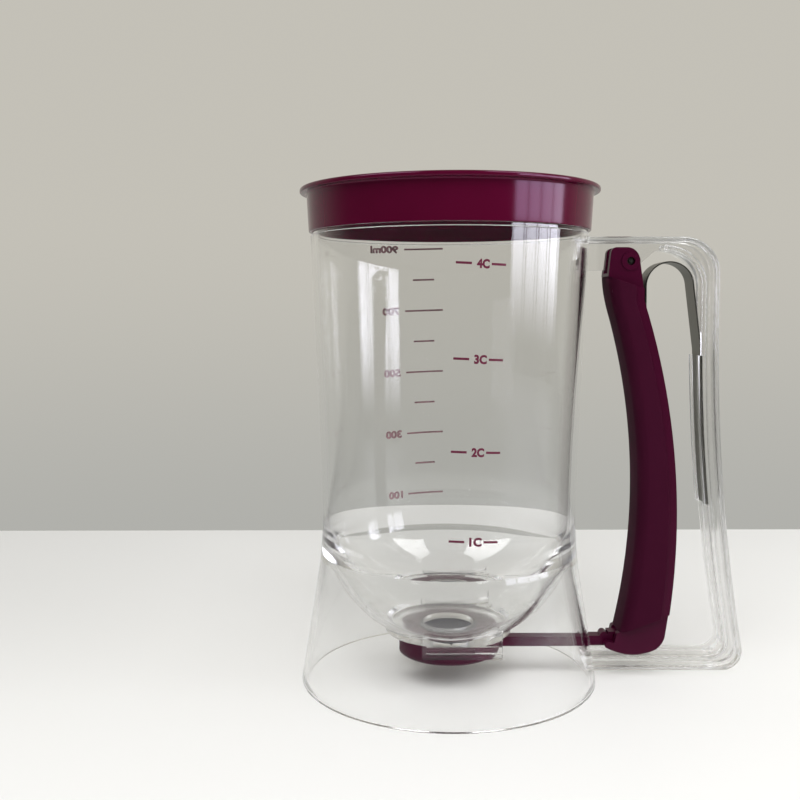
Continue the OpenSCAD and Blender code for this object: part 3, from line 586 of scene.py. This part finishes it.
gripSize = {"frontX": 72.4, "frontZ": 73.0, "frontR": 250.0, "crestX": 59.8, "backX": 87.9, "backZ": 60.0,
            "backR": 279.0, "napeX": 73.6, "napeZ": 120.0, "width": 19.3, "thick": 1.6, "edgeR": 4.2,
            "sideIn": 3.0, "crown": 0.25, "bare": 3.5, "lowZ": 18.7, "topZ": 157.3, "lowTilt": 21.0,
            "topTilt": -19.0, "blend": 2.4, "sections": 72, "rim": 0.45, "startX": 60.0,
            "search": (-12.0, 45.0)}


def gripDepth(x, z, blend):  # how far a point lies behind the lever's front face
    g = gripSize
    a = x - g["crestX"]
    b = math.hypot(x - g["frontX"] + g["frontR"], z - g["frontZ"]) - g["frontR"]
    ease = max(blend - abs(a - b), 0.0) / blend if blend else 0.0
    return min(a, b) - ease * ease * blend / 4


def gripBehind(x, z):  # how far a point lies behind the grip's back edge
    g = gripSize
    reach = g["backR"] - g["bare"]
    a = math.hypot(x - g["backX"] + g["backR"], z - g["backZ"]) - reach
    return min(a, x - g["napeX"] + g["bare"]) if z > g["napeZ"] else a


def crossing(start, tilt, measure, wanted):  # the point along a slanted line where a measure is reached
    near, far = gripSize["search"]
    for _ in range(40):
        middle = (near + far) / 2
        x, z = start[0] + middle * math.cos(tilt), start[1] + middle * math.sin(tilt)
        near, far = (middle, far) if measure(x, z) < wanted else (near, middle)
    return x, z


def gripOutlines():  # the cover's outer and inner outlines, as depths behind the front face and widths
    g = gripSize
    half, edge, thick = g["width"] / 2, g["edgeR"], g["thick"]
    flat = half - edge
    outer = [(None, half), (edge + g["sideIn"], half)]
    for turn in range(0, 91, 10):
        r, y = edge * math.sin(math.radians(turn)), flat + edge * math.cos(math.radians(turn))
        outer.append((edge + g["crown"] - r, y))
    outer += [(g["crown"] * (y / flat) ** 2, y) for y in (flat * 0.66, flat * 0.33, 0.0)]
    inner = [(None, half - thick), (edge + g["sideIn"], half - thick)]
    steps = len(outer) - 2
    for i in range(steps):
        share = i / (steps - 1)
        depth = edge + (thick - edge) * min(1.0, share / 0.4)
        inner.append((depth, (half - thick) * min(1.0, (1 - share) / 0.6)))
    return [side + [(depth, -y) for depth, y in side[-2::-1]] for side in (outer, inner)]


def gripCover():
    g = gripSize
    outer, inner = gripOutlines()
    work = bmesh.new()
    rings = []
    for i in range(g["sections"] + 1):
        share = i / g["sections"]
        z = g["lowZ"] + (g["topZ"] - g["lowZ"]) * share
        tilt = math.radians(g["lowTilt"] + (g["topTilt"] - g["lowTilt"]) * share)
        start = crossing((g["startX"], z), 0.0, lambda x, z: gripDepth(x, z, g["blend"]), 0.0)
        ring = []
        for outline, blend in ((outer, g["blend"]), (inner[::-1], 0.0)):
            for depth, y in outline:
                if depth is None:
                    x, height = crossing(start, tilt, gripBehind, 0.0)
                else:
                    x, height = crossing(start, tilt, lambda x, z: gripDepth(x, z, blend), depth)
                ring.append(work.verts.new((axisX + x * mm, y * mm, height * mm)))
        rings.append(ring)
    count = len(rings[0])
    for low, high in zip(rings, rings[1:]):
        for j in range(count):
            k = (j + 1) % count
            work.faces.new((low[j], low[k], high[k], high[j]))
    for ring in (rings[0], rings[-1]):
        for j in range(count // 2 - 1):
            work.faces.new((ring[j], ring[j + 1], ring[count - 2 - j], ring[count - 1 - j]))
    thing = newObject("gripCover", meshOf("gripCover", work, 1e-7))
    rim = thing.modifiers.new("rim", "BEVEL")
    rim.width, rim.segments, rim.limit_method, rim.angle_limit = g["rim"] * mm, 3, "ANGLE", math.radians(40)
    settled("gripCover", smooth(baked(thing), 40), "grip", "lever", ("grip_cover",))


springSize = {"width": 11.0, "thick": 0.55, "edge": 0.1, "bendR": 9.0, "bendZ": 153.7, "lowZ": 69.4,
              "holdZ": 128.0, "tipZ": 98.0, "lean": 0.14, "fit": 0.1, "wall": 2.2, "step": 1.5}


def springPath():
    s, g = springSize, gripSize
    offset = (s["thick"] + s["fit"]) / 2
    holdX = postFace(s["holdZ"]) + offset
    bendX = holdX - s["lean"] * (s["bendZ"] - s["holdZ"]) - s["bendR"]
    path = [(postFace(z) + offset, z) for z in evenly(s["lowZ"], s["holdZ"], 30)]
    lean = math.degrees(math.atan2(s["lean"], 1.0))
    bend = arc(bendX, s["bendZ"], s["bendR"], lean, 180, 28)
    frontX = g["frontX"] - g["frontR"] + math.sqrt(g["frontR"] ** 2 - (s["tipZ"] - g["frontZ"]) ** 2)
    tip = (frontX + g["thick"] + s["wall"] + s["thick"] / 2 + s["fit"], s["tipZ"])
    for first, last in ((path[-1], bend[0]), (bend[-1], tip)):
        if first is bend[-1]:
            path += bend
        steps = round(math.dist(first, last) / s["step"])
        path += [(first[0] + (last[0] - first[0]) * i / steps, first[1] + (last[1] - first[1]) * i / steps)
                 for i in range(1, steps + (first is bend[-1]))]
    return path


def returnSpring():
    s = springSize
    path = springPath()
    sides = []
    for i in range(len(path)):
        before, after = path[max(i - 1, 0)], path[min(i + 1, len(path) - 1)]
        half = s["thick"] / 2 / math.dist(before, after)
        sides.append(((before[1] - after[1]) * half, (after[0] - before[0]) * half))
    outline = [(x + dx, z + dz) for (x, z), (dx, dz) in zip(path, sides)]
    outline += [(x - dx, z - dz) for (x, z), (dx, dz) in list(zip(path, sides))[::-1]]
    mesh = smooth(plate("returnSpring", outline, s["width"], s["edge"]), 40)
    thing = newObject("returnSpring", mesh, "steel")
    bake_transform(thing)
    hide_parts("return_spring")
    print("returnSpring made,", len(mesh.polygons), "faces")


hingeSize = {"x": 68.6, "z": 163.0, "radius": 1.5, "reach": 6.6, "edge": 0.25, "tipR": 0.85, "tipIn": 0.35,
             "tipEdge": 0.2, "shoulder": 1.3, "sides": 48}


def hingePin():  # drawn-down ends leave a dark ring in each mouth of the bore
    h = hingeSize
    radius, edge, tipR, tipEdge = h["radius"], h["edge"], h["tipR"], h["tipEdge"]
    end, step = h["reach"] - h["tipIn"], h["reach"] - h["shoulder"]
    half = [(radius, step - edge), (radius - edge, step), (tipR, step), (tipR, end - tipEdge),
            (tipR - tipEdge, end), (0.0, end)]
    profile = [(r, -y) for r, y in half[::-1]] + half
    work = bmesh.new()
    turns = [2 * math.pi * i / h["sides"] for i in range(h["sides"])]
    rings = [[work.verts.new((axisX + (h["x"] + r * math.cos(a)) * mm, y * mm, (h["z"] + r * math.sin(a)) * mm))
              for r, y in profile] for a in turns]
    for ring, other in zip(rings, rings[1:] + rings[:1]):
        for j in range(len(profile) - 1):
            work.faces.new((ring[j], other[j], other[j + 1], ring[j + 1]))
    mesh = smooth(meshOf("hingePin", work), 30)
    settled("hingePin", mesh, "steel", "jar_body", ("pivot_pin",))


scaleSize = {"film": 0.06, "lift": 0.01, "cupZ": (65.1, 96.4, 128.3, 160.4), "cupLeft": (-0.3, 5.1),
             "cupRight": (11.9, 17.0), "cupText": (6.8, 4.4, 3.2), "cupDash": 0.8,
             "cupLean": (160.4, 0.021), "cupTilt": (2.5, 0.045),
             "millilitres": (900, 700, 500, 300, 100), "highZ": 171.25, "pitch": 26.6,
             "long": (0.2, 18.0), "short": (4.2, 14.0), "dash": 0.75, "text": (20.8, 14.4, 3.4),
             "squeeze": 0.0009, "tilt": 0.03, "bold": 0.05, "steps": 13}


def dashTree():  # stands a flat bar on each point of a mesh
    numbers = dict.fromkeys(("Length", "Film", "Thickness"), "Float")
    tree, inputs = newTree("scaleDashes", {**numbers, "Steps": "Int"}, "Ink")
    new, link = tree.nodes.new, tree.links.new
    given, size = new("NodeGroupInput"), new("ShaderNodeCombineXYZ")
    dash, instances = new("GeometryNodeMeshCube"), new("GeometryNodeInstanceOnPoints")
    for axis, key in zip("XYZ", numbers):
        link(given.outputs[key], size.inputs[axis])
    link(size.outputs[0], dash.inputs["Size"])
    link(given.outputs["Steps"], dash.inputs["Vertices X"])
    link(given.outputs["Geometry"], instances.inputs["Points"])
    link(dash.outputs["Mesh"], instances.inputs["Instance"])
    endTree(tree, given, instances.outputs["Instances"], "Ink")
    return tree, inputs


dashing = dashTree()


def dashes(heights, ends, thickness, ink):  # bars laid out flat, along the wall and up it
    mesh = bpy.data.meshes.new("dashPlaces")
    mesh.from_pydata([((ends[0] + ends[1]) / 2 * mm, 0, z * mm) for z in heights], [], [])
    return grown("dashes", mesh, *dashing, {
        "Length": (ends[1] - ends[0]) * mm, "Film": scaleSize["film"] * mm, "Thickness": thickness * mm,
        "Steps": scaleSize["steps"], "Ink": finishes[ink]})


def typed(text):  # letters as a mesh, with its lowest and highest corners
    letters = bpy.data.curves.new("letters", "FONT")
    letters.body, letters.size, letters.offset, letters.resolution_u = text, 1.0, scaleSize["bold"], 3
    letters.extrude = 0.5  # so the depth runs from -0.5 to 0.5
    mesh = baked(newObject("letters", letters))
    spots = [vertex.co for vertex in mesh.vertices]
    return mesh, *([limit(spot[i] for spot in spots) for i in (0, 1)] for limit in (min, max))


def words(text, left, low, width, height, like=None):  # figures laid out flat
    _, likeLow, likeHigh = typed(like or text)  # whose width is the given one
    mesh, textLow, textHigh = typed(text)
    wide = width / (likeHigh[0] - likeLow[0])
    tall = height / (textHigh[1] - textLow[1])
    for vertex in mesh.vertices:
        x, y, z = vertex.co
        vertex.co = ((left + (x - textLow[0]) * wide) * mm, -z * scaleSize["film"] * mm,
                     (low + (y - textLow[1]) * tall) * mm)
    return mesh


def wrapped(name, meshes, facing, place):  # bends flat print round the wall; facing is -1 in front and 1 behind
    work = bmesh.new()
    for mesh in meshes:
        work.from_mesh(mesh)
    for vertex in work.verts:
        s, z = place(vertex.co.x, vertex.co.z)
        out = vertex.co.y
        radius = (radiusAt(z / mm) + scaleSize["film"] / 2 + scaleSize["lift"]) * mm
        turn = s / radius
        radius -= out
        vertex.co = (axisX - facing * radius * math.sin(turn), facing * radius * math.cos(turn), z)
    return meshOf(name, work, 2e-6)


def cupScale():
    p = scaleSize
    left, width, height = p["cupText"]
    marks = [dashes(p["cupZ"], p[side], p["cupDash"], "ink") for side in ("cupLeft", "cupRight")]
    marks += [words(str(i + 1) + "C", left, z - height / 2, width, height) for i, z in enumerate(p["cupZ"])]
    (level, lean), (start, drop) = p["cupLean"], p["cupTilt"]
    mesh = wrapped("cupScale", marks, -1, lambda s, z: (
        s + (z - level * mm) * lean, z - (s - start * mm) * drop))
    settled("cupScale", mesh, "ink", "jar_body", ())


def millilitreScale():
    p = scaleSize
    amounts = p["millilitres"]
    longZ = [p["highZ"] - p["pitch"] * i for i in range(len(amounts))]
    shortZ = [z - p["pitch"] / 2 for z in longZ[:-1]]
    left, width, height = p["text"]
    marks = [dashes(longZ, p["long"], p["dash"], "fadedInk"), dashes(shortZ, p["short"], p["dash"], "fadedInk")]
    longest = str(amounts[0]) + "ml"
    for amount, z in zip(amounts, longZ):
        text = longest if amount == amounts[0] else str(amount)
        marks.append(words(text, left, z - height / 2, width, height, longest))
    mesh = wrapped("millilitreScale", marks, 1, lambda s, z: (
        s * (1 - (p["highZ"] * mm - z) / mm * p["squeeze"]), z - s * p["tilt"]))
    settled("millilitreScale", mesh, "fadedInk", "jar_body", ())


clearBody()
lid()
gripCover()
hingePin()
returnSpring()
cupScale()
millilitreScale()

keptPieces = {"trigger_lever": "lever", "valve_slider": "valve", "valve_seal": "seal"}  # in their CAD shape
for node, finish in keptPieces.items():
    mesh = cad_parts[node].data
    mesh.materials.clear()
    mesh.materials.append(finishes[finish])
print("CAD pieces finished:", len(keptPieces))


tableSize = {"reach": 3.0, "edgeY": 0.26, "colour": tint(0.8, 0.8, 0.79), "roughness": 0.6,
             "dim": tint(0.1, 0.1, 0.1), "dimFrom": 0.15, "dimTo": 0.5,  # painted shade: the floor darker away from the jar, in reflections only
             "pale": tint(0.72, 0.72, 0.7), "paleFrom": 0.45, "paleTo": 1.1}  # painted light: far off and seen straight, the floor glows an even pale grey


def table():
    t = tableSize
    corners = [(-t["reach"], -t["reach"]), (t["reach"], -t["reach"]), (t["reach"], t["edgeY"]),
               (-t["reach"], t["edgeY"])]
    work = bmesh.new()
    work.faces.new([work.verts.new((x, y, 0)) for x, y in corners])
    floor = newObject("floor", meshOf("floor", work))
    shader = Shader(bpy.data.materials.new("whiteTable"))
    mirrored = shader.mirrored()
    across, along = (shader.part(shader.place(), letter) for letter in "XY")
    away = (across * across + along * along) ** 0.5
    # painted shade: reflections show the floor darkening away from the jar
    dim = shader.fade(away, t["dimFrom"], t["dimTo"]) * mirrored
    lit = shader.add("BsdfPrincipled", None, {
        "Base Color": shader.between(dim, t["colour"], t["dim"]), "Roughness": t["roughness"]})
    # painted light: the far floor glows pale instead of being lit
    pale = shader.add("Emission", None, {"Color": t["pale"], "Strength": 1.0})
    far = shader.fade(away, t["paleFrom"], t["paleTo"]) * shader.straight() * (1 - mirrored)
    floor.data.materials.append(shader.finish(shader.mixed(far, lit, pale)))


roomLook = {"low": tint(0.43, 0.43, 0.405), "high": tint(0.55, 0.53, 0.475), "lowUp": -0.26, "highUp": 0.1,
            "front": tint(0.34, 0.34, 0.34), "dimFront": tint(0.12, 0.12, 0.125), "frontY": -0.1, "backY": 0.5}


def room():  # a pale wall all round, with a dimmer room in front of the jar for light and reflections
    r = roomLook
    scene.world = bpy.data.worlds.new("room")
    shader = Shader(scene.world)
    way = shader.add("TexCoord", out="Generated")
    mirrored = shader.mirrored()
    wall = shader.between(shader.fade(shader.part(way, "Z"), r["lowUp"], r["highUp"]), r["low"], r["high"])
    front = shader.between(mirrored, r["front"], r["dimFront"])
    around = shader.between(shader.fade(shader.part(way, "Y"), r["frontY"], r["backY"]), front, wall)
    seen = shader.straight() * (1 - mirrored)
    shader.finish(shader.add("Background", None, {
        "Color": shader.between(seen, around, wall), "Strength": 1.0}))


lamps = {
    "keyLight": {"spot": (-0.15, -0.66, 0.9), "target": (0, -0.16, 0.0), "size": (0.8, 0.8), "power": 9.0},
    "sideLight": {"spot": (0.94, -0.34, 0.5), "target": (0, 0, 0.1), "size": (0.8, 1.0), "power": 10.5},
}


def softbox(name):  # places are from the jar's axis
    k = lamps[name]
    lamp = bpy.data.lights.new(name, "AREA")
    lamp.shape, lamp.size, lamp.size_y, lamp.energy = "RECTANGLE", *k["size"], k["power"]
    thing = bpy.data.objects.new(name, lamp)
    scene.collection.objects.link(thing)
    spot, target = (Vector(k[key]) + Vector((axisX, 0, 0)) for key in ("spot", "target"))
    thing.location = spot
    thing.rotation_euler = (target - spot).to_track_quat("-Z", "Y").to_euler()
    thing.visible_glossy = thing.visible_transmission = False


windowSize = {"distance": 1.0, "from": -4.0, "to": 43.0, "panes": 4, "gap": 0.02, "low": 0.0, "high": 0.42,
              "dim": 0.03, "bright": 0.2, "strength": 8.5, "colour": tint(0.9, 0.9, 1.0)}
skySize = {"right": ((20, 25), (62, 36), (52, 74), (4, 74)),
           "left": ((118, 36), (168, 24), (176, 74), (128, 74)), "distance": 1.6,
           "dim": 1.65, "bright": 1.1, "strength": 6.5, "colour": tint(1.0, 1.0, 1.0)}


def glowing(name, quads, look):  # bright panels that only reflections show
    work = bmesh.new()
    for quad in quads:
        work.faces.new([work.verts.new(spot) for spot in quad])
    panel = newObject(name, meshOf(name, work))
    shader = Shader(bpy.data.materials.new(name))
    up = shader.fade(shader.part(shader.place(), "Z"), look["dim"], look["bright"])
    glow = shader.add("Emission", None, {
        "Color": shader.between(up, tint(0, 0, 0), look["colour"]), "Strength": look["strength"]})
    clear = shader.add("BsdfTransparent")
    panel.data.materials.append(shader.finish(shader.mixed(shader.mirrored(), clear, glow)))
    panel.visible_camera = panel.visible_diffuse = panel.visible_shadow = False


def spotAt(turn, up, distance):  # degrees to the front of +X and above the table
    turn, up = math.radians(turn), math.radians(up)
    flat = distance * math.cos(up)
    return axisX + flat * math.cos(turn), -flat * math.sin(turn), distance * math.sin(up)


def window():  # tall panes with thin bars between them, on an arc to the right of the jar
    w = windowSize
    step = (w["to"] - w["from"]) / w["panes"]
    half = step / 2 - math.degrees(w["gap"] / w["distance"] / 2)
    quads = []
    for i in range(w["panes"]):
        middle = w["from"] + step * (i + 0.5)
        (x0, y0, _), (x1, y1, _) = (spotAt(middle + side, 0, w["distance"]) for side in (-half, half))
        quads.append([(x0, y0, w["low"]), (x1, y1, w["low"]), (x1, y1, w["high"]), (x0, y0, w["high"])])
    glowing("window", quads, w)


def sky():  # the light ceiling on both sides of whoever looks
    k = skySize
    glowing("sky", [[spotAt(turn, up, k["distance"]) for turn, up in k[side]] for side in ("right", "left")], k)


cameraSize = {"spot": (-0.0189, -0.3875, 0.145), "down": 5.2, "roll": 0.11, "lens": 44.91, "sensor": 36.0}


def eye():
    c = cameraSize
    camera = bpy.data.objects.new("camera", bpy.data.cameras.new("camera"))
    scene.collection.objects.link(camera)
    camera.location = Vector(c["spot"]) + Vector((axisX, 0, 0))
    camera.rotation_euler = (math.radians(90 - c["down"]), math.radians(c["roll"]), 0)
    camera.data.lens, camera.data.sensor_width, camera.data.clip_start = c["lens"], c["sensor"], 0.01
    scene.camera = camera


table()
room()
for name in lamps:
    softbox(name)
window()
sky()
eye()
scene.view_settings.view_transform = "Standard"
bounces = {"max_bounces": 256, "transmission_bounces": 256, "glossy_bounces": 256,
           "transparent_max_bounces": 32}  # light runs far inside the clear walls
for limit, count in bounces.items():
    setattr(scene.cycles, limit, count)
print("studio made")
